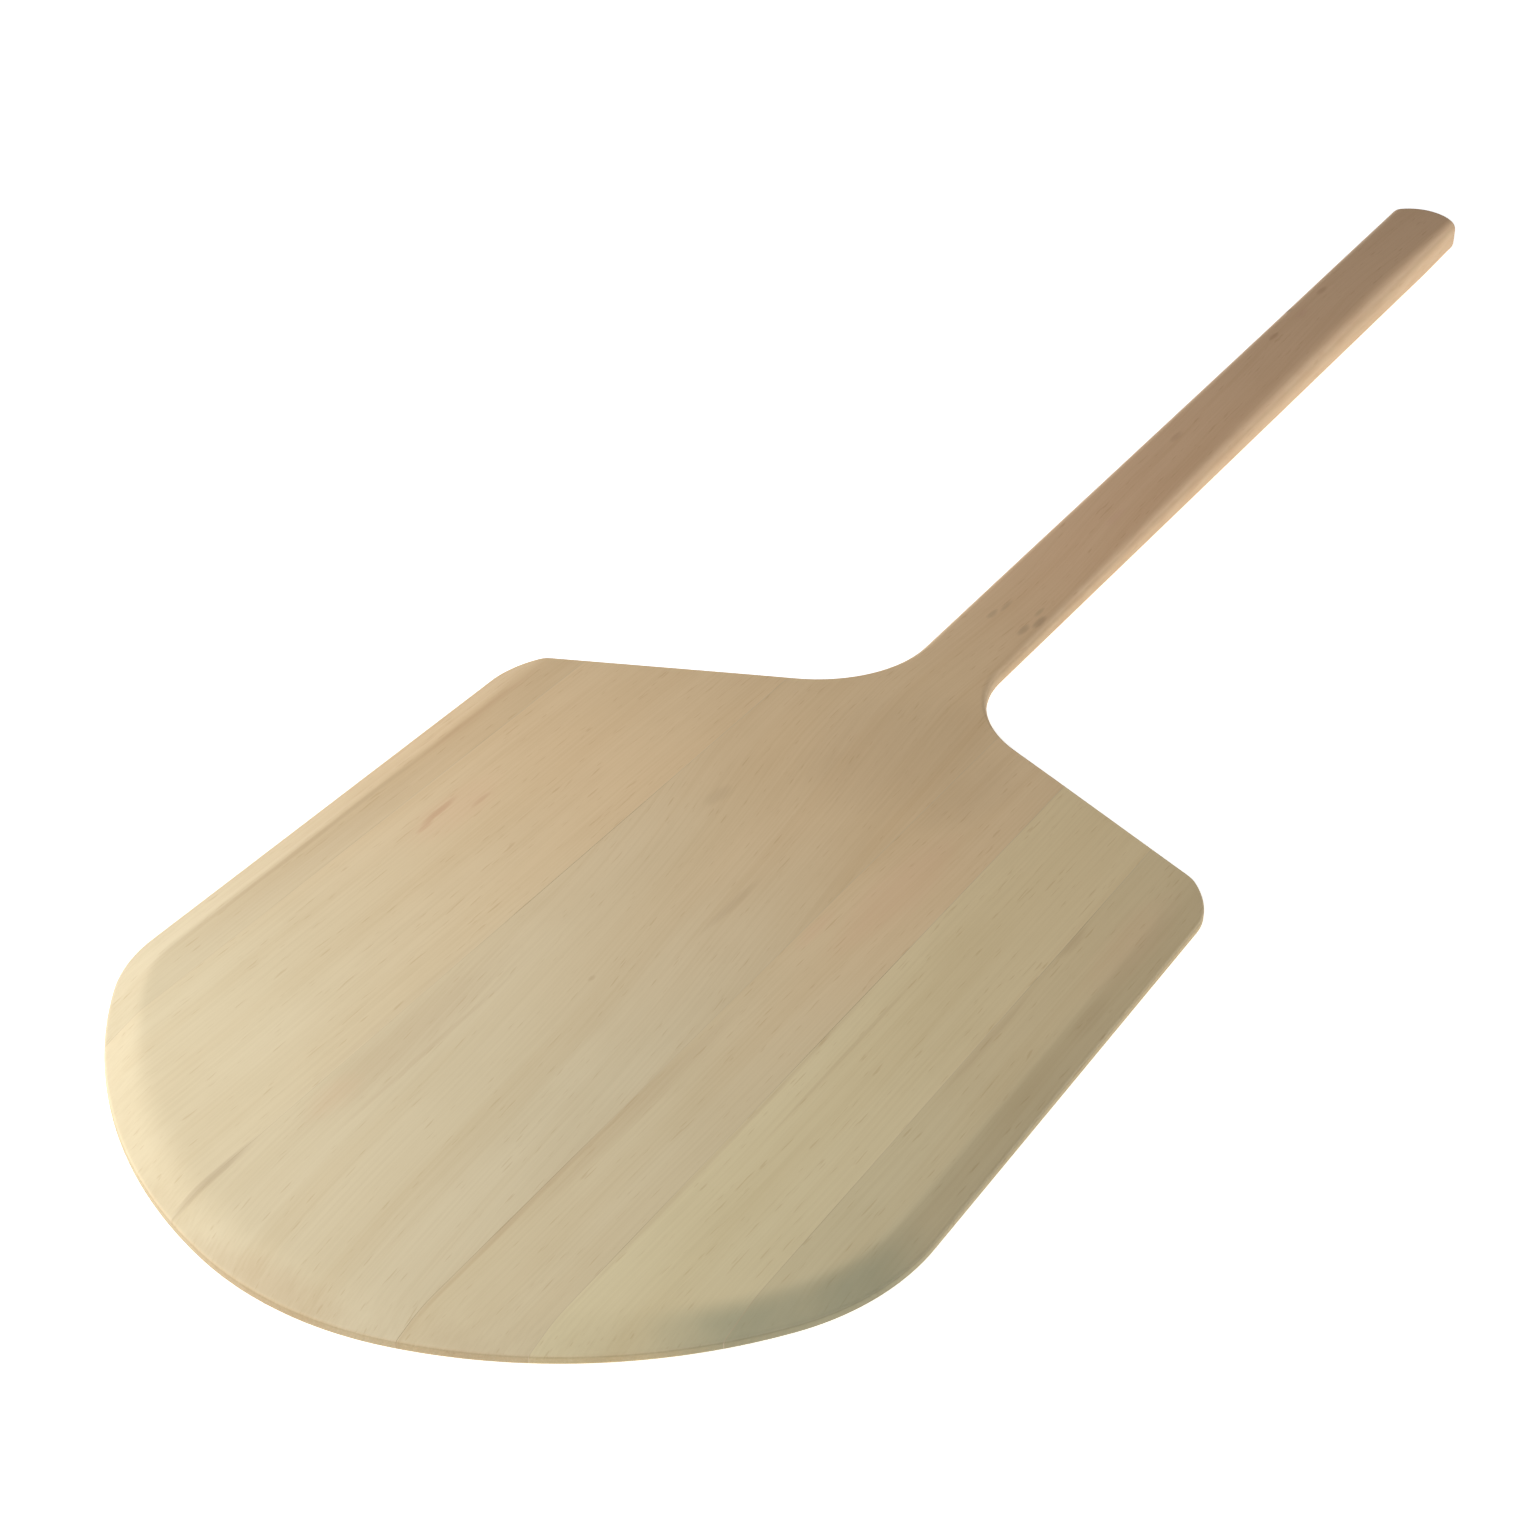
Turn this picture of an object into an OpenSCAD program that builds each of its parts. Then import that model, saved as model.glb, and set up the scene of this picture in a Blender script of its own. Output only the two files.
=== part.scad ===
// Wooden pizza peel: an edge-glued panel of six staves, cut to shape and planed.
// The handle is cut from the same board as the middle of the blade.
// X runs from the nose of the blade to the end of the handle, Z is up, and the
// underside is flat. The blade is level and thin, and the top of the handle climbs
// steadily from the neck to its end. Left is +Y: the left hand of someone who stands
// at the nose and looks along the handle.

/* [Overall] */
// Length from the nose of the blade to the end of the handle
overall_l = 1067; // [1000:1:1200]
// Width of the blade
blade_w = 352; // [335:1:370]

/* [Blade outline] */
// Radius of the arc at the nose
nose_r = 146; // [135:1:160]
// How far the centre of each cheek arc lies behind the centre of the nose arc
cheek_back = 72; // [65:1:85]
// How far it lies across the peel's middle line, on the side away from its cheek
cheek_across = 21; // [15:1:25]
// Radius of the left front corner
left_corner_r = 62; // [40:1:85]
// Radius of the right front corner, which is worn softer
right_corner_r = 101; // [80:1:115]
// Distance from the nose to the shoulder corners
shoulder_x = 382; // [365:1:400]
// Radius of the shoulder corners
shoulder_r = 28; // [15:1:40]

/* [Neck and handle] */
// Distance from the nose to where the shoulder lines would meet the handle
neck_x = 449; // [435:1:470]
// Radius of the hollow between shoulder and handle
neck_r = 59; // [50:1:70]
// Width of the handle at the neck
neck_w = 41.2; // [39:0.1:46]
// Width of the handle at its end
end_w = 40; // [36:0.1:46]
// Radius of the crowned end of the handle
crown_r = 26; // [25:0.5:60]
// Radius of the end's two corners, seen from above
end_corner_r = 7; // [6:0.5:10]
// Radius of the round-over along the edges of the handle
edge_r = 4; // [2:0.1:4]

/* [Thickness] */
// Thickness of the blade
blade_t = 8; // [8:0.1:12]
// Thickness at the end of the handle
end_t = 19; // [16:0.5:25]
// Width of the bevel round the top of the blade
bevel_w = 13; // [6:0.5:20]
// Height that the bevel drops to the rim
bevel_drop = 4; // [1:0.1:5]

/* [Staves] */
// Share of the blade's width in the left edge stave
left_edge_share = 31; // [20:1:40]
// Share in the left inner stave
left_inner_share = 86; // [70:1:95]
// Share in the centre stave, which carries the handle
centre_share = 104; // [95:1:120]
// Share in the right inner stave
right_inner_share = 42; // [35:1:50]
// Share in the right middle stave
right_middle_share = 52; // [40:1:60]
// Share in the right edge stave
right_edge_share = 37; // [30:1:45]
// Thickness of the cured glue in each seam
glue_t = 0.2; // [0.1:0.05:0.3]

/* [Hidden] */
$fn = 180;

// Tones of the boards, and the glue
LIGHT_WOOD = [0.80, 0.75, 0.61];
WARM_WOOD = [0.78, 0.70, 0.56];
PINK_WOOD = [0.74, 0.63, 0.49];
GREEN_WOOD = [0.72, 0.69, 0.53];
GLUE = [0.55, 0.43, 0.28];

// Height of the outline's vertical walls, and how far a cutter reaches past the wood
wall_h = end_t + 5;
reach = 3;
// Rounding tools cross the faces that they blend into by these small amounts, because
// surfaces that only just touch don't part cleanly
lap = 0.02;
shy = 0.1;

shares = [
    left_edge_share, left_inner_share, centre_share,
    right_inner_share, right_middle_share, right_edge_share
];
function total(list, n) = n == 0 ? 0 : list[n - 1] + total(list, n - 1);

// Y of seam i, where 0 and 6 are the two sides of the blade
function seam_y(i) = blade_w * (0.5 - total(shares, i) / total(shares, len(shares)));

function unit(v) = v / norm(v);
function flip(p) = [p.x, -p.y];
function left_of(v) = [-v.y, v.x];

// Half the angle between the legs b-a and b-c, and the points of a fillet there
function half_angle(a, b, c) = acos(unit(a - b) * unit(c - b)) / 2;
function touch(a, b, c, r) = b + unit(a - b) * r / tan(half_angle(a, b, c));
function fillet_c(a, b, c, r) =
    b + unit(unit(a - b) + unit(c - b)) * r / sin(half_angle(a, b, c));

// Left half of the blade's front: nose, cheek and corner arcs, each tangent to the
// next. With the sizes above, their centres fall on round numbers.
nose_c = [nose_r, 0];
cheek_c = nose_c + [cheek_back, -cheek_across];
cheek_r = nose_r + norm([cheek_back, cheek_across]);
function corner_c(r) =
    let (rise = blade_w / 2 - r - cheek_c.y)
    [cheek_c.x - sqrt(pow(cheek_r - r, 2) - pow(rise, 2)), blade_w / 2 - r];
left_c = corner_c(left_corner_r);
right_c = flip(corner_c(right_corner_r));

// A point outside the outline, on the ray from one point through another
function beyond(from, p) = p + blade_w * unit(p - from);
nose_out = beyond(cheek_c, nose_c);

// Left half of the shoulders and the handle
side = [shoulder_x - 3 * shoulder_r, blade_w / 2];
shoulder = [shoulder_x, blade_w / 2];
neck = [neck_x, neck_w / 2];
handle_end = [overall_l, end_w / 2];
handle_dir = unit(handle_end - neck);
handle_out = left_of(handle_dir);
handle_yaw = atan2(handle_dir.y, handle_dir.x);
neck_turn = 180 - 2 * half_angle(shoulder, neck, handle_end);
neck_c = fillet_c(shoulder, neck, handle_end, neck_r);
neck_touch = touch(handle_end, neck, shoulder, neck_r);

// End of the handle: the corner arc touches the side and the crown
crown_c = [overall_l - crown_r, 0];
end_base = neck - handle_out * end_corner_r - crown_c;
end_along = end_base * handle_dir;
end_run = sqrt(pow(end_along, 2) - end_base * end_base + pow(crown_r - end_corner_r, 2));
end_corner_c = crown_c + end_base + handle_dir * (end_run - end_along);
end_touch = end_corner_c + handle_out * end_corner_r;
crown_a = atan2(end_corner_c.y, end_corner_c.x - crown_c.x);

// The round-over leaves the wood round the hollow of the neck, as a router's would
runout_r = neck_r - (edge_r + 0.8) / (1 - cos(neck_turn));
runout_c = neck_touch + handle_out * runout_r;

handle_pitch = atan((end_t - blade_t) / (overall_l - neck_x));

module both_sides() {
    children();
    mirror([0, 1, 0]) children();
}

// Sweeps a radial section round centre c, between two angles counted from -X to +Y
module sweep_arc(c, a0, a1) {
    translate(c) rotate([0, 0, 180 - a1]) rotate_extrude(angle = a1 - a0) children();
}

// Sweeps a section in a straight line from p for a length, turned by yaw
module sweep_line(p, length, yaw = 0) {
    translate(p) rotate([0, 0, yaw]) rotate([90, 0, 90]) linear_extrude(length) children();
}

// Section of the blade from its middle to a rim at distance r, with the bevel
module rim_section(r) {
    rim_t = blade_t - bevel_drop;
    polygon([[0, 0], [r, 0], [r, rim_t], [r - bevel_w, blade_t], [0, blade_t]]);
}

// A round stretch of the rim: a full turn about its centre, kept inside a cell whose
// edges run through the centres of the arcs, where each arc meets its neighbour
module rim_arc(c, r, cell) {
    intersection() {
        translate(c) rotate_extrude() rim_section(r);
        translate([0, 0, -reach]) linear_extrude(wall_h) polygon(cell);
    }
}

// The cheek and the corner of one side, with the corner's centre at c
module front_side(c, corner_r) {
    corner_out = beyond(cheek_c, c);
    rim_arc(cheek_c, cheek_r, [nose_c, nose_out, corner_out, c]);
    rim_arc(c, corner_r, [c, corner_out, [c.x, corner_out.y]]);
}

module blade_front() {
    rim_arc(nose_c, nose_r, [nose_c, flip(nose_out), nose_out]);
    front_side(left_c, left_corner_r);
    mirror([0, 1, 0]) front_side(flip(right_c), right_corner_r);
}

// Cuts a convex corner round: p and q are where its arc about c touches the edges
module round_off(p, c, q, r) {
    difference() {
        polygon([c, beyond(c, p), beyond(c, q)]);
        translate(c) circle(r + lap);
    }
}

// Outline from the corner arcs back to the end of the handle
module back_outline() {
    half = [
        shoulder, touch(shoulder, neck, handle_end, neck_r), neck_c, neck_touch, handle_end
    ];
    other_half = [for (i = [len(half) - 1:-1:0]) flip(half[i])];
    front = [[right_c.x, -blade_w / 2], right_c, nose_c, left_c, [left_c.x, blade_w / 2]];
    difference() {
        polygon(concat(front, half, other_half));
        both_sides() {
            round_off(
                touch(side, shoulder, neck, shoulder_r),
                fillet_c(side, shoulder, neck, shoulder_r),
                touch(neck, shoulder, side, shoulder_r), shoulder_r
            );
            translate(neck_c) circle(neck_r + lap);
            round_off(end_touch, end_corner_c, beyond(crown_c, end_corner_c), end_corner_r);
        }
        difference() {
            translate([end_corner_c.x, -end_w]) square([crown_r, 2 * end_w]);
            translate(crown_c) circle(crown_r);
        }
    }
}

// Frame whose XY plane is the top face of the handle, with the wood below it
module on_handle_top() {
    translate([overall_l, 0, end_t]) rotate([0, -handle_pitch, 0])
        translate([-overall_l, 0, 0]) children();
}

// Everything under the top faces of the blade, with its side bevels, and of the handle
module under_back_top() {
    both_sides() sweep_line([0, 0], neck_x + reach) rim_section(blade_w / 2);
    on_handle_top() translate([neck_x - wall_h, -blade_w / 2, -wall_h])
        cube([overall_l - neck_x + 2 * wall_h, blade_w, wall_h]);
}

// The whole peel with square edges
module blank() {
    blade_front();
    intersection() {
        linear_extrude(wall_h) back_outline();
        under_back_top();
    }
}

// Corner square less the round-over, for an edge whose wall is at distance r. The
// wood is inside the wall, or outside it round the hollow of the neck.
module edge_section(r, hollow = false) {
    x = r + (hollow ? 1 : -1) * (edge_r - shy);
    difference() {
        translate([hollow ? r - reach : x, shy - edge_r])
            square([edge_r - shy + reach, edge_r + reach]);
        translate([x, shy - edge_r]) circle(edge_r);
    }
}

// Cutter for the round-over of edge i in the plane z = 0: the handle's sides, the
// hollows of the neck, the end's corners and the crown between them. Each runs on past
// its end, outside the wood or into what its neighbour cuts.
module edge_cutter(i) {
    run_on = 15;
    if (i == 0)
        both_sides() sweep_line(neck_touch, norm(end_touch - neck_touch) + reach, handle_yaw)
            edge_section(0);
    if (i == 1)
        both_sides() translate(runout_c) rotate([0, 0, handle_yaw - 90 - neck_turn])
            rotate_extrude(angle = neck_turn + run_on)
                edge_section(runout_r + shy / 2, hollow = true);
    if (i == 2)
        both_sides() sweep_arc(end_corner_c, 90 - handle_yaw, 180 - crown_a)
            edge_section(end_corner_r + shy / 2);
    if (i == 3)
        sweep_arc(crown_c, 180 - crown_a - run_on, 180 + crown_a + run_on)
            edge_section(crown_r);
}

// The peel with its first n edges rounded, each on the top and then the underside
module rounded(n) {
    if (n == 0)
        blank();
    else difference() {
        difference() {
            rounded(n - 1);
            on_handle_top() edge_cutter(n - 1);
        }
        mirror([0, 0, 1]) edge_cutter(n - 1);
    }
}

// The part of the peel between two values of Y, centred on the origin along X
module strip(y_low, y_high) {
    size = [overall_l + 2 * reach, y_high - y_low, wall_h + 2 * reach];
    translate([-overall_l / 2, 0, 0]) intersection() {
        rounded(4);
        translate([-reach, y_low, -reach]) cube(size);
    }
}

// Stave i, counted from the left side of the blade. The outer staves run out to the rim.
module stave(i) {
    last = len(shares) - 1;
    y_high = i == 0 ? blade_w : seam_y(i) - glue_t / 2;
    y_low = i == last ? -blade_w : seam_y(i + 1) + glue_t / 2;
    strip(y_low, y_high);
}

module glue_film(i) {
    strip(seam_y(i) - glue_t / 2, seam_y(i) + glue_t / 2);
}

module left_edge_stave() color(WARM_WOOD) stave(0);
module left_inner_stave() color(PINK_WOOD) stave(1);
module centre_stave() color(WARM_WOOD) stave(2);
module right_inner_stave() color(LIGHT_WOOD) stave(3);
module right_middle_stave() color(LIGHT_WOOD) stave(4);
module right_edge_stave() color(GREEN_WOOD) stave(5);
module glue_line_1() color(GLUE) glue_film(1);
module glue_line_2() color(GLUE) glue_film(2);
module glue_line_3() color(GLUE) glue_film(3);
module glue_line_4() color(GLUE) glue_film(4);
module glue_line_5() color(GLUE) glue_film(5);

left_edge_stave();
left_inner_stave();
centre_stave();
right_inner_stave();
right_middle_stave();
right_edge_stave();
glue_line_1();
glue_line_2();
glue_line_3();
glue_line_4();
glue_line_5();
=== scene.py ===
"""Pizza peel: six glued staves of basswood, the middle one running on as the handle.

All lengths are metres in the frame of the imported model: X runs from the nose of the
blade to the end of the handle, +Y is the left side and Z is up.
"""

import math
from dataclasses import dataclass

import bpy
import numpy as np
from mathutils import Matrix, Vector
from mathutils.geometry import delaunay_2d_cdt


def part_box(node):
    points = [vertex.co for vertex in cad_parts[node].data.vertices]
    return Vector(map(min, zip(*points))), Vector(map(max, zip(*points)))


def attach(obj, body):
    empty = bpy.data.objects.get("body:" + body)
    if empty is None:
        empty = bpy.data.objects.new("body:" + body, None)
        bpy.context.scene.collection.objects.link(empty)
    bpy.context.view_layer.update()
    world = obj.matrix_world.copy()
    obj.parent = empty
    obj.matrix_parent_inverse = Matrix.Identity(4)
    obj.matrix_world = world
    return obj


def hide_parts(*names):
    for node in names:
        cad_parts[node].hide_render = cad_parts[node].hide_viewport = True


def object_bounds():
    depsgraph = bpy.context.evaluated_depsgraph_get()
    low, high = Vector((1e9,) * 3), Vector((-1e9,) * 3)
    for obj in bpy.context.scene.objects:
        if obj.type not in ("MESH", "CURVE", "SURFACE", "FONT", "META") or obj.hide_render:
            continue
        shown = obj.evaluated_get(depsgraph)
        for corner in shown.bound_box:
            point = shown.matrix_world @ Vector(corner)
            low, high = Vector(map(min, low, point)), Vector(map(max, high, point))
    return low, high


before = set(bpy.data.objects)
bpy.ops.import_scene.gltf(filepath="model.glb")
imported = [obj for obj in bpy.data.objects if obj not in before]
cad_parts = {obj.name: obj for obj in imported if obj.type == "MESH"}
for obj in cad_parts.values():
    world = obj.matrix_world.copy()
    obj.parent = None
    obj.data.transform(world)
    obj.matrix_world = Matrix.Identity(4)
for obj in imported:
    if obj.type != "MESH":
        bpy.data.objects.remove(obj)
CAD_LOW, CAD_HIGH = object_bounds()

MM = 0.001

# ---- Sizes taken from the CAD model's boxes -------------------------------------------
NOSE_X = CAD_LOW.x
END_X = CAD_HIGH.x
HALF_W = CAD_HIGH.y
END_T = CAD_HIGH.z
BLADE_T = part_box("left_inner_stave")[1].z
GLUE_LINES = ["glue_line_1", "glue_line_2", "glue_line_3", "glue_line_4", "glue_line_5"]

# ---- Outline of the peel, as its CAD drawing has it -----------------------------------
NOSE_R = 146 * MM
CHEEK_BACK = 72 * MM
CHEEK_ACROSS = 21 * MM
LEFT_CORNER_R = 62 * MM
RIGHT_CORNER_R = 101 * MM
SHOULDER_X = NOSE_X + 382 * MM
SHOULDER_R = 28 * MM
NECK_X = NOSE_X + 449 * MM
NECK_R = 59 * MM
NECK_W = 41.2 * MM
END_W = 40 * MM
CROWN_R = 26 * MM
END_CORNER_R = 7 * MM

# Spacing of the outline's points, and the least number of steps in an arc
ARC_STEP = 1.3 * MM
LINE_STEP = 1.5 * ARC_STEP
LEAST_STEPS = 6

# ---- Bevel and softened edges ---------------------------------------------------------
RIM_T = 4 * MM
BEVEL_W = 13 * MM
# How softly the bevel meets the flat top: crisp along the sides, soft at the nose. The
# first stretch of X is where it turns crisp, and the second is where the bevel ends.
SIDE_BLEND = 0.5 * MM
NOSE_BLEND = 2.4 * MM
NOSE_FADE = (NOSE_X, NOSE_X + 130 * MM)
BLADE_FADE = (NECK_X - 20 * MM, NECK_X)
# Radii of the edges, and where along X each one grows into the next
RIM_SOFT_R = 1.1 * MM
NECK_EDGE_R = 3.9 * MM
LEFT_EDGE_R = 6 * MM
RIGHT_EDGE_R = 9.2 * MM
END_EDGE_R = 6.3 * MM
UNDER_EDGE_R = 3.4 * MM
END_UNDER_R = 5 * MM
NECK_GROWTH = (NECK_X - 30 * MM, NECK_X + 45 * MM)
HANDLE_GROWTH = (NECK_X + 20 * MM, END_X - 130 * MM)
TIP_GROWTH = (END_X - 110 * MM, END_X - 12 * MM)
UNDER_TIP_GROWTH = (END_X - 60 * MM, END_X - 5 * MM)
# Half the length over which the level blade turns into the climbing handle
CREASE = 18 * MM


def unit(v):
    return v / np.linalg.norm(v)


# ---- Outline: points, each with the direction that faces out of the wood --------------
def arc(centre, radius, start, end, hollow=False):
    """Points and outward directions along an arc, without its last point."""
    count = max(LEAST_STEPS, math.ceil(abs(end - start) * radius / ARC_STEP))
    turn = np.linspace(start, end, count, endpoint=False)
    ray = np.stack([np.cos(turn), np.sin(turn)], axis=1)
    return np.hstack([centre + radius * ray, -ray if hollow else ray])


def line(start, end, out):
    """Points along a straight stretch, without its last point."""
    count = math.ceil(np.linalg.norm(end - start) / LINE_STEP)
    share = np.linspace(0, 1, count, endpoint=False)[:, None]
    points = start + share * (end - start)
    return np.hstack([points, np.tile(out, (count, 1))])


def angle_of(v):
    return math.atan2(v[1], v[0])


def fillet(a, b, c, radius):
    """Centre of a fillet at corner b, and the points where it touches both legs."""
    to_a, to_c = unit(a - b), unit(c - b)
    half = math.acos(to_a @ to_c) / 2
    reach = radius / math.tan(half)
    centre = b + unit(to_a + to_c) * radius / math.sin(half)
    return centre, b + to_a * reach, b + to_c * reach


def front_arcs(corner_r):
    """Nose, cheek and corner arcs of one side, drawn on the +Y side."""
    nose_c = np.array([NOSE_X + NOSE_R, 0])
    cheek_c = nose_c + np.array([CHEEK_BACK, -CHEEK_ACROSS])
    cheek_r = NOSE_R + math.hypot(CHEEK_BACK, CHEEK_ACROSS)
    rise = HALF_W - corner_r - cheek_c[1]
    back = math.sqrt((cheek_r - corner_r) ** 2 - rise**2)
    corner_c = np.array([cheek_c[0] - back, HALF_W - corner_r])
    meet_nose = angle_of(nose_c - cheek_c)
    meet_corner = angle_of(corner_c - cheek_c)
    return [
        arc(nose_c, NOSE_R, math.pi, meet_nose),
        arc(cheek_c, cheek_r, meet_nose, meet_corner),
        arc(corner_c, corner_r, meet_corner, math.pi / 2),
    ], np.array([corner_c[0], HALF_W])


def back_runs(corner_end):
    """Side, shoulder, neck, handle, end corner and crown of one side."""
    up = np.array([0.0, 1.0])
    shoulder = np.array([SHOULDER_X, HALF_W])
    neck = np.array([NECK_X, NECK_W / 2])
    handle_end = np.array([END_X, END_W / 2])
    shoulder_c, side_end, shoulder_end = fillet(corner_end, shoulder, neck, SHOULDER_R)
    neck_c, neck_start, neck_end = fillet(shoulder, neck, handle_end, NECK_R)
    slope = unit(neck - shoulder)
    slope_out = np.array([-slope[1], slope[0]])
    along = unit(handle_end - neck)
    handle_out = np.array([-along[1], along[0]])

    crown_c = np.array([END_X - CROWN_R, 0])
    base = neck - handle_out * END_CORNER_R - crown_c
    reach = base @ along
    run = math.sqrt(reach**2 - base @ base + (CROWN_R - END_CORNER_R) ** 2)
    corner_c = crown_c + base + along * (run - reach)
    crown_turn = angle_of(corner_c - crown_c)
    return [
        line(corner_end, side_end, up),
        arc(shoulder_c, SHOULDER_R, math.pi / 2, angle_of(slope_out)),
        line(shoulder_end, neck_start, slope_out),
        arc(neck_c, NECK_R, angle_of(-slope_out), angle_of(-handle_out), hollow=True),
        line(neck_end, corner_c + handle_out * END_CORNER_R, handle_out),
        arc(corner_c, END_CORNER_R, angle_of(handle_out), crown_turn),
        arc(crown_c, CROWN_R, crown_turn, 0),
    ]


def one_side(corner_r):
    """Half of the outline from the nose to the crown, and the bevelled part of it."""
    front, corner_end = front_arcs(corner_r)
    back = back_runs(corner_end)
    bevel_end = np.array([NECK_X, HALF_W])
    bevelled = front + [line(corner_end, bevel_end, np.array([0.0, 1.0]))]
    return np.vstack(front + back), np.vstack(bevelled)


def mirrored(half):
    """The same run on the -Y side, in the opposite order."""
    return (half * np.array([1, -1, 1, -1]))[::-1]


def join_sides(left, right):
    """One run of points: the right side towards the nose, then the left side."""
    return np.vstack([mirrored(right)[:-1], left])


LEFT_SIDE, LEFT_BEVELLED = one_side(LEFT_CORNER_R)
RIGHT_SIDE, RIGHT_BEVELLED = one_side(RIGHT_CORNER_R)
CROWN_TIP = np.array([[END_X, 0.0, 1.0, 0.0]])
OUTLINE = np.vstack([join_sides(LEFT_SIDE, RIGHT_SIDE), CROWN_TIP])
BEVELLED = join_sides(LEFT_BEVELLED, RIGHT_BEVELLED)


# ---- Heights of the faces -------------------------------------------------------------
# Points are compared with the outline in batches of this size, to save memory
BATCH = 2000


def smoothstep(low, high, x):
    t = np.clip((x - low) / (high - low), 0, 1)
    return t * t * (3 - 2 * t)


def distance_to(run, points, closed):
    """Shortest distance from each point to a run of straight steps."""
    a = run[:, :2]
    b = np.roll(a, -1, axis=0)
    if not closed:
        a, b = a[:-1], b[:-1]
    step = b - a
    length2 = np.einsum("ij,ij->i", step, step)
    result = np.empty(len(points))
    for first in range(0, len(points), BATCH):
        p = points[first:first + BATCH, None, :]
        share = np.clip(np.einsum("pij,ij->pi", p - a, step) / length2, 0, 1)
        gap = p - a - share[..., None] * step
        result[first:first + BATCH] = np.sqrt((gap**2).sum(axis=2).min(axis=1))
    return result


def inside(run, points):
    """Whether each point lies inside a closed run of straight steps."""
    ax, ay = run[:, 0], run[:, 1]
    bx, by = np.roll(ax, -1), np.roll(ay, -1)
    lean = (bx - ax) / np.where(by == ay, 1, by - ay)
    result = np.empty(len(points), dtype=bool)
    for first in range(0, len(points), BATCH):
        x, y = points[first:first + BATCH].T[..., None]
        spans = (ay > y) != (by > y)
        crossed = spans & (x < ax + (y - ay) * lean)
        result[first:first + BATCH] = crossed.sum(axis=1) % 2 == 1
    return result


def blend_min(a, b, width):
    """The lower of two heights, with the crease between them softened."""
    h = np.clip(0.5 + (b - a) / (2 * width), 0, 1)
    return b + (a - b) * h - width * h * (1 - h)


def face_height(x):
    """Level blade, then the handle's climb, with a soft change at the neck."""
    slope = (END_T - BLADE_T) / (END_X - NECK_X)
    past = x - NECK_X
    soft = (past + CREASE) ** 2 / (4 * CREASE)
    climb = np.where(past < -CREASE, 0, np.where(past > CREASE, past, soft))
    # The blend ends on the straight climb, so the end keeps its full thickness
    return BLADE_T + slope * climb


def edge_radius(points):
    """Radius of the softened top edge: crisp on the blade, widest on the handle's right."""
    x = points[:, 0]
    handle_r = np.where(points[:, 1] < 0, RIGHT_EDGE_R, LEFT_EDGE_R)
    neck = smoothstep(*NECK_GROWTH, x)
    handle = smoothstep(*HANDLE_GROWTH, x)
    tip = smoothstep(*TIP_GROWTH, x)
    radius = RIM_SOFT_R + (NECK_EDGE_R - RIM_SOFT_R) * neck + (handle_r - NECK_EDGE_R) * handle
    return radius + (END_EDGE_R - radius) * tip


def under_radius(points):
    """The underside is rounded less than the top, and most at the handle's end."""
    tip = smoothstep(*UNDER_TIP_GROWTH, points[:, 0])
    radius = np.minimum(edge_radius(points), UNDER_EDGE_R)
    return radius + (END_UNDER_R - radius) * tip


def round_drop(depth, radius):
    """How far a quarter round takes a face back at a depth in from the wall."""
    past = np.clip(radius - depth, 0, radius)
    return radius - np.sqrt(np.maximum(radius**2 - past**2, 0))


def heights(points):
    """Top and underside of plan points, and how far in from wall and bevel rim they lie."""
    x = points[:, 0]
    wall = distance_to(OUTLINE, points, closed=True)
    rim = distance_to(BEVELLED, points, closed=False)
    # Past the blade the plane of the bevel is lifted clear of the handle
    lift = smoothstep(*BLADE_FADE, x) * END_T
    bevel = RIM_T + (BLADE_T - RIM_T) * rim / BEVEL_W + lift
    blend = NOSE_BLEND + (SIDE_BLEND - NOSE_BLEND) * smoothstep(*NOSE_FADE, x)
    top = blend_min(face_height(x), bevel, blend) - round_drop(wall, edge_radius(points))
    under = round_drop(wall, under_radius(points))
    return top, under, wall, rim


# ---- Plan of the peel, cut into triangles along every line that the surface needs -----
# Angles of the rounded edge where it gets a ring of points, and the ring just past it
ROUND_TURNS = np.radians([14, 28, 42, 56, 70, 85])
PAST_ROUND = 1.1
# Depths of the rings on both sides of the bevel's crease, closest where it bends
BEVEL_RINGS = BEVEL_W + np.array([-9, -6, -4, -2, -1, 0, 1, 2, 4, 6, 9]) * MM
# Spacing of the points between the rings, how far they are shaken out of their rows as
# a share of it, and how far they stay from the wall
GRID = 6 * MM
SHAKE = 0.2
SHAKE_SEED = 7
WALL_GAP = 3 * MM
HANDLE_X = NECK_X + 30 * MM
# Plan points closer than this are one point
WELD = 1e-7
# How near to a seam a point has to be to lie on it
SEAM_NEAR = 0.01 * MM
# Depths in from the rim, as shares of the bevel's width, over which the value that
# the shader reads for the painted shade on the bevel fades out
BEVEL_FADE = (0.5, 1.4)


def inset(run, depth):
    """A run moved into the wood by a depth, which may differ from point to point."""
    depth = np.broadcast_to(depth, len(run))
    return run[:, :2] - run[:, 2:] * depth[:, None]


def plan_lines():
    """Runs of plan points that triangles may not cross, and whether each one closes."""
    radius = edge_radius(OUTLINE)
    shares = [0, *(1 - math.cos(turn) for turn in ROUND_TURNS), PAST_ROUND]
    runs = [(inset(OUTLINE, radius * share), True) for share in shares]
    on_blade = BEVELLED[BEVELLED[:, 0] < SHOULDER_X - SHOULDER_R]
    runs += [(inset(on_blade, depth), False) for depth in BEVEL_RINGS]
    for glue in GLUE_LINES:
        low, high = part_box(glue)
        for y in (low.y, high.y):
            runs.append((np.array([[NOSE_X - GRID, y], [END_X + GRID, y]]), False))
    return runs


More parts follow.
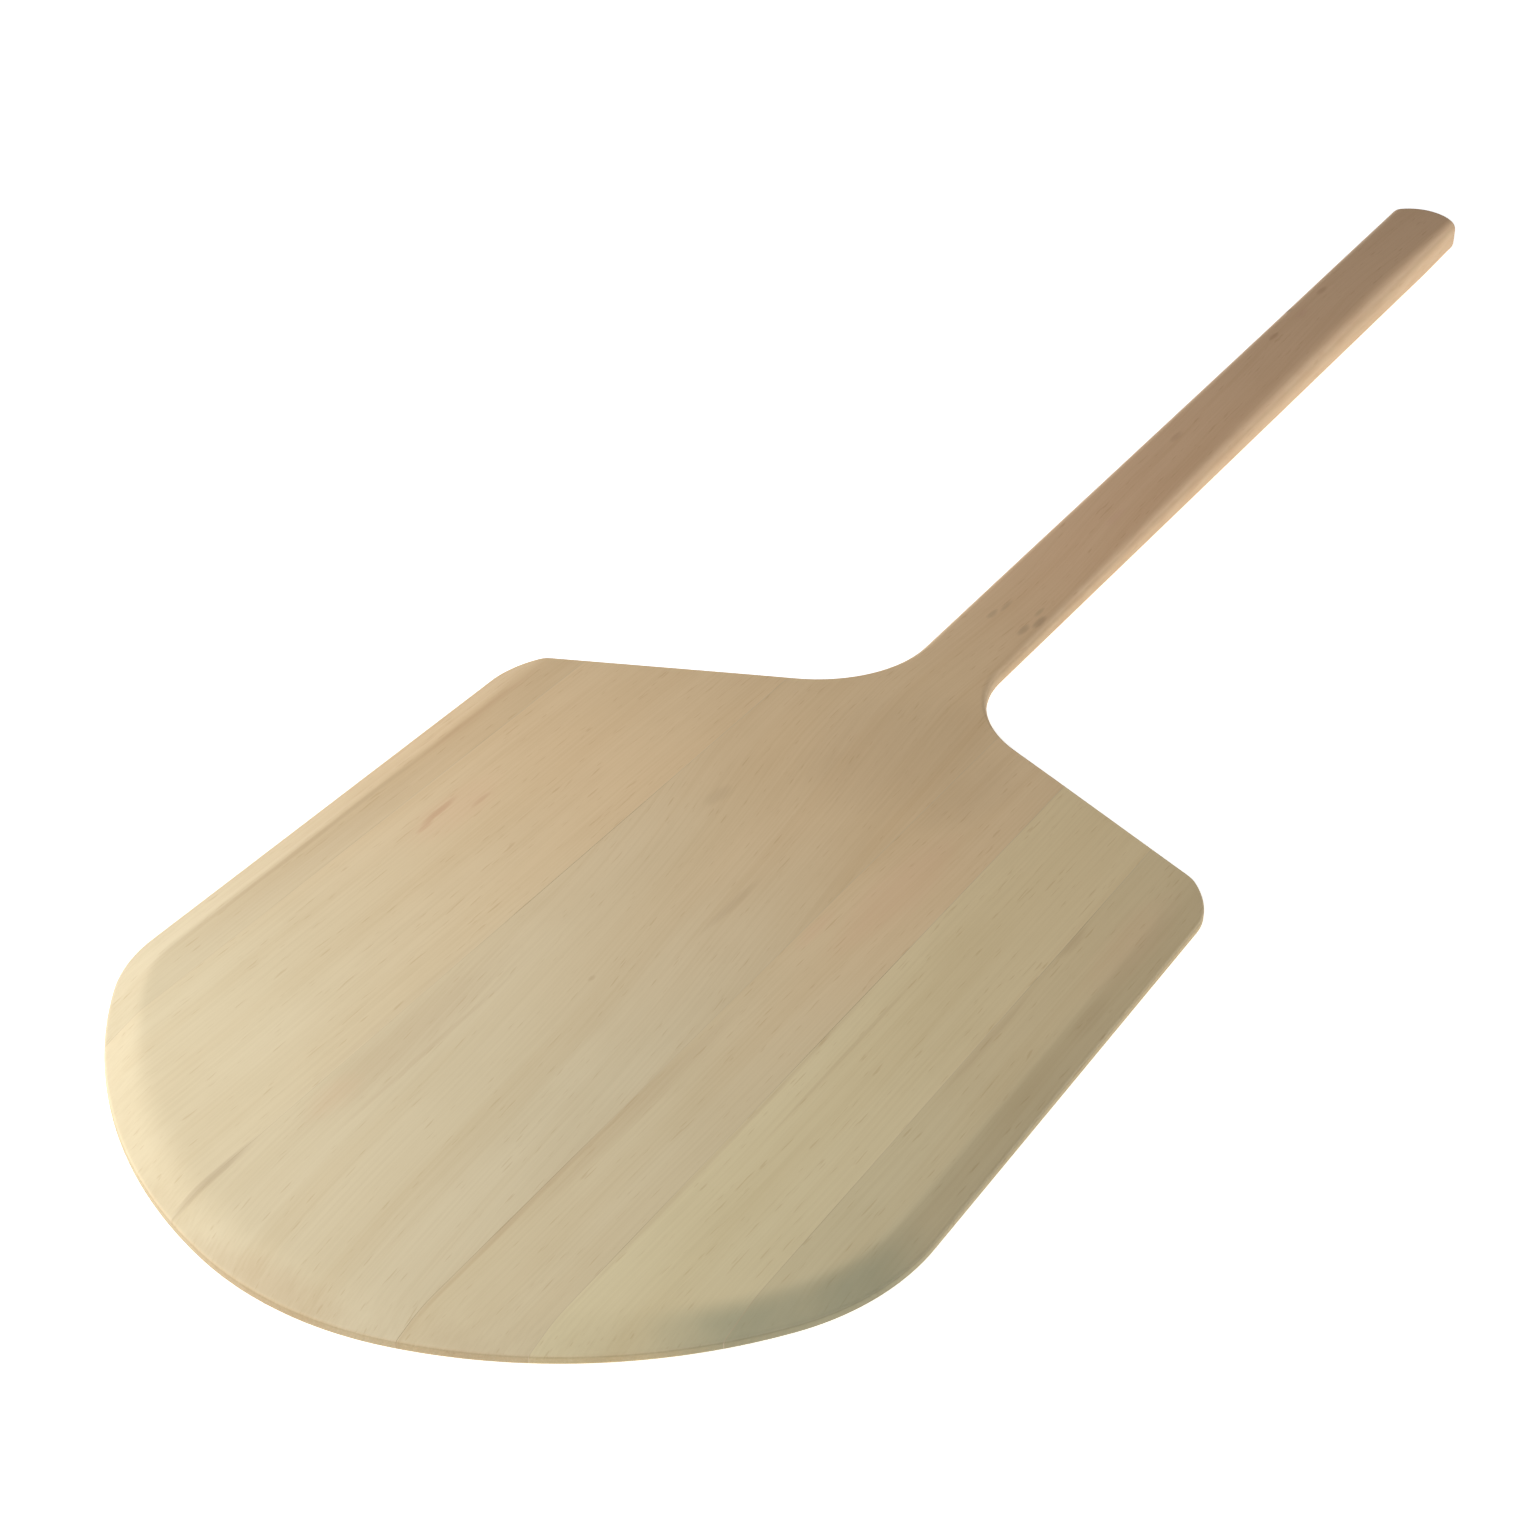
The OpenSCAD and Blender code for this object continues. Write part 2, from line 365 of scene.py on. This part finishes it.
def grid_points():
    """Inner points that keep the triangles of the broad faces small and even."""
    xs = np.arange(NOSE_X + GRID, END_X, GRID)
    ys = np.arange(-HALF_W + GRID / 2, HALF_W, GRID)
    grid = np.stack(np.meshgrid(xs, ys), axis=2).reshape(-1, 2)
    grid += np.random.default_rng(SHAKE_SEED).uniform(-SHAKE, SHAKE, grid.shape) * GRID
    clear = distance_to(OUTLINE, grid, closed=True) >= WALL_GAP
    # On the handle the gap is counted from the walls of its narrow end
    clear &= (grid[:, 0] < HANDLE_X) | (abs(grid[:, 1]) < END_W / 2 - WALL_GAP)
    return grid[clear & inside(OUTLINE, grid)]


def plan_mesh():
    """Plan points and the triangles between them."""
    points, edges = [], []
    for run, closes in plan_lines():
        ids = list(range(len(points), len(points) + len(run)))
        points.extend(run)
        edges.extend(zip(ids, ids[1:] + ids[:1] if closes else ids[1:]))
    points.extend(grid_points())
    flat = [Vector(p) for p in points]
    # The 0 asks for every triangle, also those outside the outline
    verts, _, faces, _, _, _ = delaunay_2d_cdt(flat, edges, [], 0, WELD, False)
    verts = np.array([tuple(v) for v in verts])
    faces = np.array([tuple(f) for f in faces])
    return verts, faces[inside(OUTLINE, verts[faces].mean(axis=1))]


# ---- Pieces ---------------------------------------------------------------------------
def open_edges(triangles):
    """Directed edges that only one triangle has."""
    pairs = np.vstack([triangles[:, [0, 1]], triangles[:, [1, 2]], triangles[:, [2, 0]]])
    keys = np.sort(pairs, axis=1)
    _, where, count = np.unique(keys, axis=0, return_inverse=True, return_counts=True)
    return pairs[count[where.ravel()] == 1]


def store(mesh, name, values):
    layer = mesh.attributes.new(name, "FLOAT", "POINT")
    layer.data.foreach_set("value", np.ascontiguousarray(values, dtype=np.float32))


class Plan:
    """The triangulated plan, its heights and the values that the wood shader reads."""

    def __init__(self):
        self.points, self.faces = plan_mesh()
        self.top, self.under, wall, rim = heights(self.points)
        self.middle_y = self.points[self.faces].mean(axis=1)[:, 1]
        radius = edge_radius(self.points)
        self.edge = 1 - smoothstep(0, 1, wall / radius)
        self.bevel = 1 - smoothstep(*BEVEL_FADE, rim / BEVEL_W)


def make_piece(plan, node):
    """The closed solid of one stave or glue film, which stands for its CAD node."""
    low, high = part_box(node)
    faces = plan.faces[(plan.middle_y > low.y) & (plan.middle_y < high.y)]
    used, local = np.unique(faces, return_inverse=True)
    local = local.reshape(faces.shape)
    flat = plan.points[used]
    count = len(used)
    upper = np.column_stack([flat, plan.top[used]])
    lower = np.column_stack([flat, plan.under[used]])
    walls = [(a + count, b + count, b, a) for a, b in open_edges(local)]
    triangles = [tuple(f) for f in local] + [tuple(f + count) for f in local[:, ::-1]]
    mesh = bpy.data.meshes.new(node + "_shape")
    mesh.from_pydata(np.vstack([upper, lower]).tolist(), [], triangles + walls)
    mesh.update()
    mesh.polygons.foreach_set("use_smooth", [True] * len(mesh.polygons))
    store(mesh, "edge", np.tile(plan.edge[used], 2))
    store(mesh, "bevel", np.tile(plan.bevel[used], 2))
    mark_seam_edges(mesh, (low.y, high.y))
    piece = bpy.data.objects.new(node + "_shape", mesh)
    bpy.context.collection.objects.link(piece)
    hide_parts(node)
    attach(piece, "root")
    return piece


def mark_seam_edges(mesh, seams):
    """Keeps the edges crisp where the flat faces meet the glued walls."""
    co = np.empty(len(mesh.vertices) * 3)
    mesh.vertices.foreach_get("co", co)
    y = co.reshape(-1, 3)[:, 1]
    on_seam = np.zeros(len(y), dtype=bool)
    for seam in seams:
        # The outer sides of the blade are rounded, and no seam
        if abs(seam) < HALF_W - MM:
            on_seam |= abs(y - seam) < SEAM_NEAR
    ends = np.empty(len(mesh.edges) * 2, dtype=int)
    mesh.edges.foreach_get("vertices", ends)
    sharp = on_seam[ends.reshape(-1, 2)].all(axis=1)
    layer = mesh.attributes.new("sharp_edge", "BOOLEAN", "EDGE")
    layer.data.foreach_set("value", sharp)


# ---- Materials ------------------------------------------------------------------------
class Nodes:
    """Short calls that add shader nodes to one material and link them."""

    def __init__(self, name):
        self.material = bpy.data.materials.new(name)
        self.material.use_nodes = True
        self.tree = self.material.node_tree
        self.shader = self.tree.nodes["Principled BSDF"]

    def add(self, kind, **settings):
        node = self.tree.nodes.new(kind)
        for key, value in settings.items():
            setattr(node, key, value)
        return node

    def put(self, socket, value):
        """Links another node's output to a socket, or sets the socket to a value."""
        if isinstance(value, bpy.types.NodeSocket):
            self.tree.links.new(value, socket)
        else:
            socket.default_value = value

    def math(self, operation, a, b=0.0):
        node = self.add("ShaderNodeMath", operation=operation)
        self.put(node.inputs[0], a)
        self.put(node.inputs[1], b)
        return node.outputs[0]

    def ramp(self, value, low, high, to_low=0.0, to_high=1.0):
        """Eases from one level to the other as the value goes from low to high."""
        node = self.add("ShaderNodeMapRange", interpolation_type="SMOOTHSTEP")
        self.put(node.inputs["Value"], value)
        self.put(node.inputs["From Min"], low)
        self.put(node.inputs["From Max"], high)
        self.put(node.inputs["To Min"], to_low)
        self.put(node.inputs["To Max"], to_high)
        return node.outputs["Result"]

    def mix(self, share, a, b, blend="MIX"):
        node = self.add("ShaderNodeMix", data_type="RGBA", blend_type=blend)
        self.put(node.inputs["Factor"], share)
        self.put(node.inputs["A"], a)
        self.put(node.inputs["B"], b)
        return node.outputs["Result"]

    def place(self):
        """Place on the piece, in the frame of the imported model."""
        return self.add("ShaderNodeTexCoord").outputs["Object"]

    def stretched(self, place, scale, offset=(0, 0, 0)):
        node = self.add("ShaderNodeMapping")
        self.put(node.inputs["Vector"], place)
        self.put(node.inputs["Location"], offset)
        self.put(node.inputs["Scale"], scale)
        return node.outputs["Vector"]

    def noise(self, place, scale, offset=(0, 0, 0), detail=2.0, distortion=0.0):
        """Noise with so many cells per metre along X, Y and Z."""
        node = self.add("ShaderNodeTexNoise")
        self.put(node.inputs["Vector"], self.stretched(place, scale, offset))
        self.put(node.inputs["Scale"], 1.0)
        self.put(node.inputs["Detail"], detail)
        self.put(node.inputs["Distortion"], distortion)
        return node.outputs["Fac"]


def colour(red, green, blue):
    return (red, green, blue, 1.0)


def scaled(tone, level):
    return colour(*(level * part for part in tone))


class Wood(Nodes):
    """Basswood of one stave, built up from broad tone to fine fibre."""

    def __init__(self, name, look):
        super().__init__(name)
        self.look = look
        self.coords = self.place()
        self.seed = tuple(look.seed * step for step in SEED_STEP)
        axes = self.add("ShaderNodeSeparateXYZ")
        self.put(axes.inputs[0], self.coords)
        self.x, self.y = axes.outputs["X"], axes.outputs["Y"]
        self.grain = self.grain_coords()

    def grain_coords(self):
        """Coordinates that lean and wander with the grain of this board."""
        wander = self.noise(self.coords, GRAIN_CELLS, self.seed, detail=1)
        swing = self.math("MULTIPLY", self.math("SUBTRACT", wander, 0.5), self.look.wander)
        on_blade = self.math("MINIMUM", self.x, NECK_X)
        lean = self.math("MULTIPLY", on_blade, self.look.lean)
        across = self.math("ADD", self.y, self.math("ADD", swing, lean))
        axes = self.add("ShaderNodeSeparateXYZ")
        self.put(axes.inputs[0], self.coords)
        joined = self.add("ShaderNodeCombineXYZ")
        self.put(joined.inputs["X"], self.x)
        self.put(joined.inputs["Y"], across)
        self.put(joined.inputs["Z"], axes.outputs["Z"])
        return joined.outputs[0]

    def board_tone(self):
        """Pale towards the nose, pinker towards the neck, and pinker still in the handle."""
        look = self.look
        level = look.level
        wave = self.noise(self.coords, TONE_CELLS, self.seed, detail=2)
        drift = self.math("MULTIPLY", self.math("SUBTRACT", wave, 0.5), TONE_DRIFT)
        along = self.math("ADD", self.x, drift)
        back = self.ramp(along, NOSE_X + look.pink_from, NOSE_X + look.pink_to)
        tone = self.mix(back, scaled(look.front, level), scaled(look.back, level))
        handle = self.ramp(along, *HANDLE_TONE_FADE)
        return self.mix(handle, tone, scaled(HANDLE_TONE, level))

    def darken(self, tone, share, shade):
        """Multiplies the tone by a warm shade where the share is high."""
        return self.mix(share, tone, shade, blend="MULTIPLY")

    def reach(self, where, size):
        """Squared distance from a place, where 1 is the rim of an oval of this half size."""
        dx = self.math("DIVIDE", self.math("SUBTRACT", self.x, NOSE_X + where[0]), size[0])
        dy = self.math("DIVIDE", self.math("SUBTRACT", self.y, where[1]), size[1])
        return self.math("ADD", self.math("MULTIPLY", dx, dx), self.math("MULTIPLY", dy, dy))

    def mark(self, tone, where, size, shade, strength):
        """A soft streak or spot at one place on the board, broken up by the fibre."""
        reach = self.reach(where, size)
        broken = self.noise(self.grain, MARK_CELLS, self.seed, detail=3)
        worn = self.math("ADD", reach, self.math("MULTIPLY", broken, MARK_BREAK))
        return self.mix(self.ramp(worn, *MARK_FADE, to_high=strength), tone, shade)

    def layer_noise(self, layer):
        place = self.grain if layer.follows_grain else self.coords
        return self.noise(place, layer.cells, self.seed, layer.detail, layer.distortion)

    def finish(self):
        """Joins all layers of the wood's look, and returns the finished material."""
        figure = self.look.figure
        fibre = self.layer_noise(FIBRE)
        fleck = self.layer_noise(FLECK)
        layers = [
            (BAND, self.layer_noise(BAND), figure),
            (LINE, self.layer_noise(LINE), figure),
            (CLOUD, self.layer_noise(CLOUD), CLOUD_SHARE),
            (FIBRE, fibre, FIBRE_SHARE),
            (FLECK, fleck, FLECK_SHARE),
        ]
        tone = self.board_tone()
        for layer, noise, share in layers:
            tone = self.darken(tone, self.ramp(noise, *layer.sets_in, to_high=share), layer.shade)
        for where, size, shade, strength in self.look.marks:
            tone = self.mark(tone, where, size, colour(*shade), strength)
        # Painted shade on the bevel of the right front corner
        tone = self.shaded_corner_bevel(tone)
        # Rubbed edges with painted light on the handle, painted shade on the walls, darker end
        # grain
        tone = self.edges(tone)
        self.put(self.shader.inputs["Base Color"], tone)
        self.surface(fibre, fleck)
        return self.material

    def shaded_corner_bevel(self, tone):
        """Painted shade on the right front corner's bevel, which is made greener and darker."""
        bevel = self.add("ShaderNodeAttribute", attribute_name="bevel").outputs["Fac"]
        shade_break = self.noise(self.coords, CORNER_SHADE_BREAK_CELLS, self.seed, detail=4)
        reach = self.reach(CORNER_PLACE, CORNER_SIZE)
        near = self.ramp(reach, *CORNER_FADE, to_high=CORNER_STRENGTH)
        patchy = self.math("MULTIPLY", near, self.ramp(shade_break, 0.2, 0.6, to_low=0.6))
        return self.mix(self.math("MULTIPLY", bevel, patchy), tone, colour(*CORNER_BEVEL_SHADE))

    def edges(self, tone):
        """The handle's edges are rubbed paler and get painted light; the walls get painted shade;
        end grain is darker.
        """
        edge = self.add("ShaderNodeAttribute", attribute_name="edge").outputs["Fac"]
        rub = self.noise(self.coords, RUBBED_AND_LIT_CELLS, self.seed, detail=3)
        # Where the edges are rubbed paler, and on the handle's side strip also painted light
        worn = self.math("MULTIPLY", edge, self.ramp(rub, 0.3, 0.7, to_low=0.5))
        share = self.ramp(self.x, *EDGE_TONE_FADE, BLADE_EDGE_SHARE, HANDLE_RUBBED_AND_LIT_SHARE)
        tone = self.mix(self.math("MULTIPLY", worn, share), tone, colour(*RUBBED_AND_LIT_EDGE_TONE))
        # Painted shade darkens the walls
        tone = self.darken(tone, self.ramp(edge, *WALL_FADE), WALL_PAINTED_SHADE)
        normal = self.add("ShaderNodeSeparateXYZ")
        self.put(normal.inputs[0], self.add("ShaderNodeNewGeometry").outputs["True Normal"])
        facing = self.math("ABSOLUTE", normal.outputs["X"])
        ends = self.ramp(facing, *END_GRAIN_FACING)
        pores = self.noise(self.coords, PORE_CELLS, self.seed, detail=2)
        pitted = self.ramp(pores, 0.3, 0.6, to_low=0.4, to_high=0.9)
        return self.darken(tone, self.math("MULTIPLY", ends, pitted), END_GRAIN_SHADE)

    def surface(self, fibre, fleck):
        """Fine raised fibre and open pores under a dry, sanded finish."""
        self.put(self.shader.inputs["Roughness"], self.ramp(fibre, 0.2, 0.8, *WOOD_ROUGHNESS))
        self.put(self.shader.inputs["Specular IOR Level"], 0.3)
        height = self.math("SUBTRACT", fibre, self.ramp(fleck, *FLECK.sets_in))
        bump = self.add("ShaderNodeBump")
        self.put(bump.inputs["Height"], height)
        self.put(bump.inputs["Strength"], 0.15)
        self.put(bump.inputs["Distance"], 0.15 * MM)
        self.put(self.shader.inputs["Normal"], bump.outputs["Normal"])


def glue_material(name):
    """Cured wood glue: a thin amber line, in places hardly darker than the wood."""
    n = Nodes(name)
    place = n.place()
    mottle = n.noise(place, (60, 400, 400), detail=3)
    run = n.noise(place, (9, 30, 30), detail=3)
    tone = n.mix(n.ramp(run, 0.46, 0.66), GLUE_PALE, GLUE_DARK)
    tone = n.mix(n.math("MULTIPLY", mottle, 0.3), tone, GLUE_MOTTLE)
    n.put(n.shader.inputs["Base Color"], tone)
    n.put(n.shader.inputs["Roughness"], n.ramp(mottle, 0.2, 0.8, *GLUE_ROUGHNESS))
    return n.material


# ---- Layers of the wood's figure ------------------------------------------------------
@dataclass
class Layer:
    """Noise that darkens the wood where its level is high."""

    # Cells of the noise per metre along X, Y and Z
    cells: tuple
    detail: int
    # Levels of the noise between which the shade grows to its full share
    sets_in: tuple
    shade: tuple
    distortion: float = 0.0
    follows_grain: bool = True


BAND = Layer((1, 30, 12), 3, (0.38, 0.68), colour(0.955, 0.935, 0.90))
LINE = Layer((2.2, 110, 60), 4, (0.46, 0.72), colour(0.955, 0.93, 0.895), distortion=0.2)
CLOUD = Layer((14, 26, 26), 4, (0.40, 0.72), colour(0.94, 0.925, 0.90), follows_grain=False)
FIBRE = Layer((16, 1000, 600), 4, (0.35, 0.75), colour(0.92, 0.90, 0.87))
FLECK = Layer((75, 900, 500), 1, (0.66, 0.76), colour(0.84, 0.77, 0.70))
# The share of the bands and lines is the figure of each stave's own look
CLOUD_SHARE = 0.55
FIBRE_SHARE = 0.5
FLECK_SHARE = 0.6
# Cells of the noise that bends the grain and of the one that shifts the board's tone,
# and how far the noise of one stave lies from the next one's
GRAIN_CELLS = (3.5, 7, 7)
TONE_CELLS = (2.5, 9, 9)
SEED_STEP = (3.1, 5.7, 1.3)

# ---- Painted shade on walls and corner, rubbed edges with painted light, marks, glue ---
# End grain shows where the surface faces along X
END_GRAIN_SHADE = colour(0.88, 0.82, 0.76)
END_GRAIN_FACING = (0.45, 0.95)
PORE_CELLS = (300, 1500, 1500)
# Painted shade on the walls, in place of the shade they get close to the floor, and the values of
# the edge between which it sets in
WALL_PAINTED_SHADE = colour(0.82, 0.80, 0.75)
WALL_FADE = (0.80, 0.98)
WOOD_ROUGHNESS = (0.54, 0.68)
# Paler tone of rubbed edges, which on the handle is also painted light on its side strip; where
# along X it turns from the blade's share to the handle's, the cells of its noise, and the two
# shares
RUBBED_AND_LIT_EDGE_TONE = (0.82, 0.63, 0.42)
EDGE_TONE_FADE = (NECK_X - 30 * MM, NECK_X + 90 * MM)
RUBBED_AND_LIT_CELLS = (60, 60, 200)
BLADE_EDGE_SHARE = 0.05
HANDLE_RUBBED_AND_LIT_SHARE = 0.5
# How far the noise breaks into a mark, and the reach where it ends and where it is full
MARK_CELLS = (45, 700, 300)
MARK_BREAK = 0.9
MARK_FADE = (1.35, 0.35)
# Painted shade on the right front bevel: its place from the nose, half size, the reach where it
# ends and where it is full, strength, and cells of the noise that breaks it up
CORNER_PLACE = (92 * MM, -154 * MM)
CORNER_SIZE = (58 * MM, 48 * MM)
CORNER_FADE = (1.3, 0.1)
CORNER_STRENGTH = 0.58
CORNER_SHADE_BREAK_CELLS = (30, 45, 45)
GLUE_PALE = colour(0.58, 0.47, 0.31)
GLUE_DARK = colour(0.34, 0.24, 0.14)
GLUE_MOTTLE = colour(0.46, 0.34, 0.21)
GLUE_ROUGHNESS = (0.4, 0.6)

# ---- Looks of the staves --------------------------------------------------------------
HANDLE_TONE = (0.79, 0.53, 0.33)
HANDLE_TONE_FADE = (NECK_X - 30 * MM, NECK_X + 240 * MM)
# How far the change of tone along the board drifts to and fro
TONE_DRIFT = 180 * MM
CREAM = (0.66, 0.565, 0.385)
SAND = (0.735, 0.55, 0.337)
OLIVE = (0.645, 0.56, 0.36)
HAZEL = (0.665, 0.562, 0.372)
STRAW = (0.69, 0.555, 0.338)
RUST = (0.52, 0.29, 0.17)
SOOT = (0.28, 0.18, 0.11)
UMBER = (0.44, 0.30, 0.17)
BLUSH = (0.72, 0.45, 0.29)
# Green-grey painted shade for the bevel of the right front corner
CORNER_BEVEL_SHADE = (0.34, 0.36, 0.25)


@dataclass
class Look:
    """How one stave differs from the others."""

    slot: str
    front: tuple
    back: tuple
    # Distances from the nose where the front tone starts to turn and where it has turned
    pink_from: float
    pink_to: float
    seed: int
    # Brightness, slant of the grain, how far it wanders, and share of bands and lines
    level: float = 1.0
    lean: float = 0.0
    wander: float = 8 * MM
    figure: float = 0.65
    marks: tuple = ()


def spot(x, y, half_l, half_w, shade, strength):
    """A mark at x from the nose and y from the middle, with its half size, all in mm."""
    return (x * MM, y * MM), (half_l * MM, half_w * MM), shade, strength


LOOKS = {
    "left_edge_stave": Look(
        "warm_basswood", CREAM, SAND, 60 * MM, 330 * MM, 1, level=0.95, marks=(
            spot(215, 161, 120, 1.8, UMBER, 0.35),
            spot(330, 160, 60, 2.5, RUST, 0.20),
            spot(215, 153, 115, 8, UMBER, 0.12),
        ),
    ),
    "left_inner_stave": Look(
        "pink_basswood", CREAM, SAND, 80 * MM, 360 * MM, 2, figure=0.5, marks=(
            spot(262, 129, 16, 2.2, RUST, 0.58),
            spot(279, 119, 9, 1.6, RUST, 0.40),
            spot(250, 127, 8, 1.6, RUST, 0.40),
            spot(268, 124, 40, 14, BLUSH, 0.20),
            spot(14, 82, 14, 34, UMBER, 0.12),
            spot(34, 59, 32, 2.0, SOOT, 0.26),
            spot(140, 61, 85, 2.4, UMBER, 0.14),
        ),
    ),
    "centre_stave": Look(
        "warm_basswood", CREAM, SAND, 120 * MM, 400 * MM, 3,
        level=0.98, lean=-0.10, wander=34 * MM, figure=0.75, marks=(
            spot(34, 58.6, 32, 2.4, SOOT, 0.32),
            spot(135, 48, 85, 14, UMBER, 0.22),
            spot(130, 36.5, 80, 1.6, UMBER, 0.22),
            spot(93, 50, 20, 9, BLUSH, 0.12),
            spot(3, 15, 14, 54, UMBER, 0.28),
            spot(405, -15, 64, 54, UMBER, 0.20),
            spot(202, 9, 3, 1.6, UMBER, 0.40),
            spot(272, -12, 26, 3.0, UMBER, 0.30),
            spot(335, 35, 12, 5, UMBER, 0.25),
            spot(528, 6, 6, 2.2, SOOT, 0.26),
            spot(538, 4, 8, 1.7, SOOT, 0.28),
            spot(523, -13, 7, 2.3, SOOT, 0.36),
            spot(533, -16, 8, 2.5, SOOT, 0.40),
            spot(541, -12, 6, 1.6, UMBER, 0.40),
            spot(897, 17.5, 4, 2.4, SOOT, 0.85),
            spot(862, 11, 7, 2.4, RUST, 0.55),
            spot(896, 9, 10, 3.0, BLUSH, 0.60),
            spot(929, 11, 8, 2.4, RUST, 0.45),
            spot(730, 7, 9, 2.6, RUST, 0.40),
            spot(640, -3, 14, 3.0, BLUSH, 0.50),
        ),
    ),
    "right_inner_stave": Look(
        "light_basswood", HAZEL, SAND, 120 * MM, 380 * MM, 4,
        level=0.99, wander=16 * MM, marks=(
            spot(150, -50, 95, 5, UMBER, 0.20),
            spot(95, -46, 115, 1.8, UMBER, 0.34),
            spot(395, -52, 46, 24, UMBER, 0.18),
            spot(275, -49, 20, 4, BLUSH, 0.22),
            spot(315, -64, 60, 15, BLUSH, 0.22),
            spot(14, -64, 12, 26, UMBER, 0.12),
        ),
    ),
    "right_middle_stave": Look(
        "light_basswood", OLIVE, STRAW, 60 * MM, 420 * MM, 5, level=1.08, marks=(
            spot(215, -99, 70, 1.2, UMBER, 0.22),
            spot(150, -88, 130, 1.8, UMBER, 0.24),
        ),
    ),
    "right_edge_stave": Look(
        "green_basswood", OLIVE, STRAW, 60 * MM, 360 * MM, 6, level=0.99, marks=(
            spot(250, -141, 45, 2.4, UMBER, 0.25),
            spot(322, -140, 16, 4, UMBER, 0.30),
            spot(284, -167, 20, 5, UMBER, 0.12),
            spot(335, -160, 50, 12, BLUSH, 0.16),
        ),
    ),
}


# ---- Light, floor and camera ----------------------------------------------------------
# Name, place, aim, size, power and tint of each light; the key is a little warm
LIGHTS = [
    ("key", (-0.685, 0.288, 0.485), (-0.2, 0, 0), (0.4, 0.4), 3.75, (1, 0.99, 0.95)),
    ("left_fill", (-0.2, 0.95, 0.36), (-0.2, 0, 0), (1.2, 0.4), 3.6, (1, 1, 1)),
    ("low_fill", (0.33, -0.55, 0.10), (0.33, 0, 0.01), (0.75, 0.15), 1.25, (1, 1, 1)),
]


def area_light(name, place, aim, size, power, tint):
    light = bpy.data.lights.new(name, "AREA")
    light.shape = "RECTANGLE"
    light.size, light.size_y = size
    light.energy = power
    light.color = tint
    lamp = bpy.data.objects.new(name, light)
    lamp.location = place
    lamp.rotation_euler = (Vector(aim) - Vector(place)).to_track_quat("-Z", "Y").to_euler()
    lamp.visible_camera = False
    bpy.context.collection.objects.link(lamp)


def make_floor():
    """A wide pale floor just under the peel, lit enough to come out nearly white."""
    mesh = bpy.data.meshes.new("studio_floor")
    reach = 12
    level = -0.5 * MM
    corners = [(-1, -1), (1, -1), (1, 1), (-1, 1)]
    mesh.from_pydata([(reach * x, reach * y, level) for x, y in corners], [], [(0, 1, 2, 3)])
    floor = bpy.data.objects.new("studio_floor", mesh)
    bpy.context.collection.objects.link(floor)
    n = Nodes("pale_floor")
    n.put(n.shader.inputs["Base Color"], colour(0.9, 0.9, 0.9))
    n.put(n.shader.inputs["Roughness"], 0.9)
    n.put(n.shader.inputs["Emission Color"], colour(1, 1, 1))
    n.put(n.shader.inputs["Emission Strength"], 0.78)
    mesh.materials.append(n.material)


# The camera that was fitted to the peel's outline in the photograph
CAMERA_PLACE = Vector((-1.0765, -0.5303, 0.7232))
CAMERA_HEADING = math.radians(31.62)
CAMERA_DIP = math.radians(33.88)
CAMERA_ROLL = math.radians(-0.24)
CAMERA_LENS = 69.51


def make_camera():
    """Looks along the heading, counted from +X to +Y, and down by the dip."""
    ahead = Vector((math.cos(CAMERA_HEADING), math.sin(CAMERA_HEADING), 0))
    right = Vector((ahead.y, -ahead.x, 0))
    forward = ahead * math.cos(CAMERA_DIP) - Vector((0, 0, math.sin(CAMERA_DIP)))
    up = right.cross(forward)
    turn = Matrix((right, up, -forward)).transposed().to_4x4()
    camera = bpy.data.cameras.new("photo_camera")
    camera.lens = CAMERA_LENS
    camera.sensor_width = 36
    camera.clip_end = 50
    rig = bpy.data.objects.new("photo_camera", camera)
    roll = Matrix.Rotation(-CAMERA_ROLL, 4, "Z")
    rig.matrix_world = Matrix.Translation(CAMERA_PLACE) @ turn @ roll
    bpy.context.collection.objects.link(rig)
    bpy.context.scene.camera = rig


def make_world():
    """A soft room: bright round the horizon, dimmer overhead."""
    world = bpy.data.worlds.new("studio")
    world.use_nodes = True
    tree = world.node_tree
    coords = tree.nodes.new("ShaderNodeTexCoord")
    axes = tree.nodes.new("ShaderNodeSeparateXYZ")
    fade = tree.nodes.new("ShaderNodeMapRange")
    fade.inputs["From Min"].default_value = 0.02
    fade.inputs["From Max"].default_value = 0.30
    fade.inputs["To Min"].default_value = 1.0
    fade.inputs["To Max"].default_value = 0.19
    tree.links.new(coords.outputs["Generated"], axes.inputs[0])
    tree.links.new(axes.outputs["Z"], fade.inputs["Value"])
    tree.links.new(fade.outputs["Result"], tree.nodes["Background"].inputs["Strength"])
    tree.nodes["Background"].inputs["Color"].default_value = colour(1, 1, 1)
    bpy.context.scene.world = world


def make_studio():
    make_world()
    for light in LIGHTS:
        area_light(*light)
    bpy.context.scene.view_settings.view_transform = "Standard"


# ---- Build ----------------------------------------------------------------------------
plan = Plan()
for node, look in LOOKS.items():
    piece = make_piece(plan, node)
    piece.data.materials.append(Wood(node + "_grain", look).finish())
glue_finish = glue_material("seam_glue")
for node in GLUE_LINES:
    piece = make_piece(plan, node)
    piece.data.materials.append(glue_finish)
make_floor()
make_camera()
make_studio()
